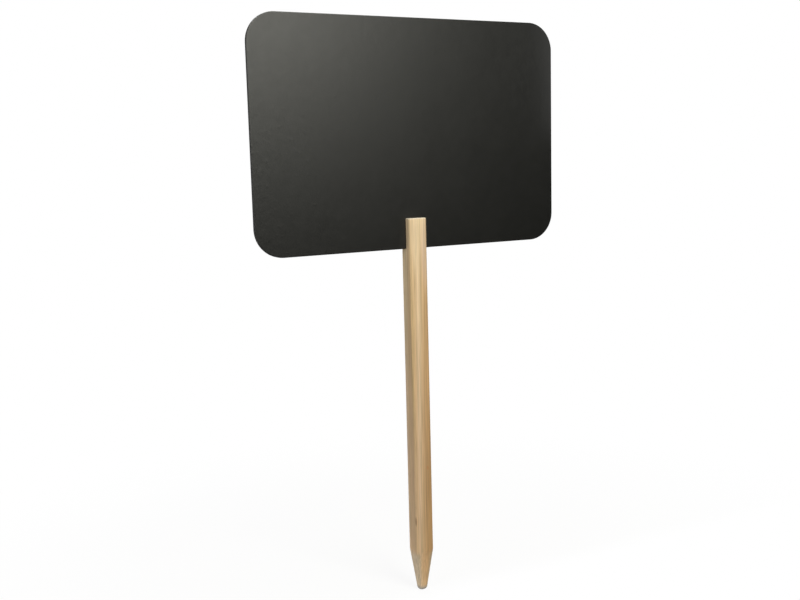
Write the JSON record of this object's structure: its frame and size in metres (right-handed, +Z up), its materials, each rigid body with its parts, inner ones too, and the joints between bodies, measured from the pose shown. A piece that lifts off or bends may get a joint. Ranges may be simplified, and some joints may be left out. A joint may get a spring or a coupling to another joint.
{
  "type": "plant label stake",
  "caption": "Rounded black chalkboard panel held upright in the slotted head of a pointed wooden stake, to write plant names on and push into soil.",
  "frame": {"origin": "middle of the stake's tip, the lowest point of the part", "axes": "+Z up along the stake, +X to the right across the board seen from the front, front of the board faces -Y"},
  "size_m": [0.3, 0.0158, 0.52],
  "materials": {
    "stake_wood": "planed, unvarnished softwood",
    "board_core": "sawn edge of dark laminate",
    "chalk_face": "satin chalk-writing surface"
  },
  "bodies": {
    "stake": {"stake": "stake_wood"},
    "board": {"board_core": "board_core", "front_chalk_face": "chalk_face", "back_chalk_face": "chalk_face"}
  },
  "joints": [
    {"name": "board_lift", "type": "slide", "parent": "stake", "child": "board", "axis": [0, 0, 1], "range_m": [0, 0.04]}
  ]
}
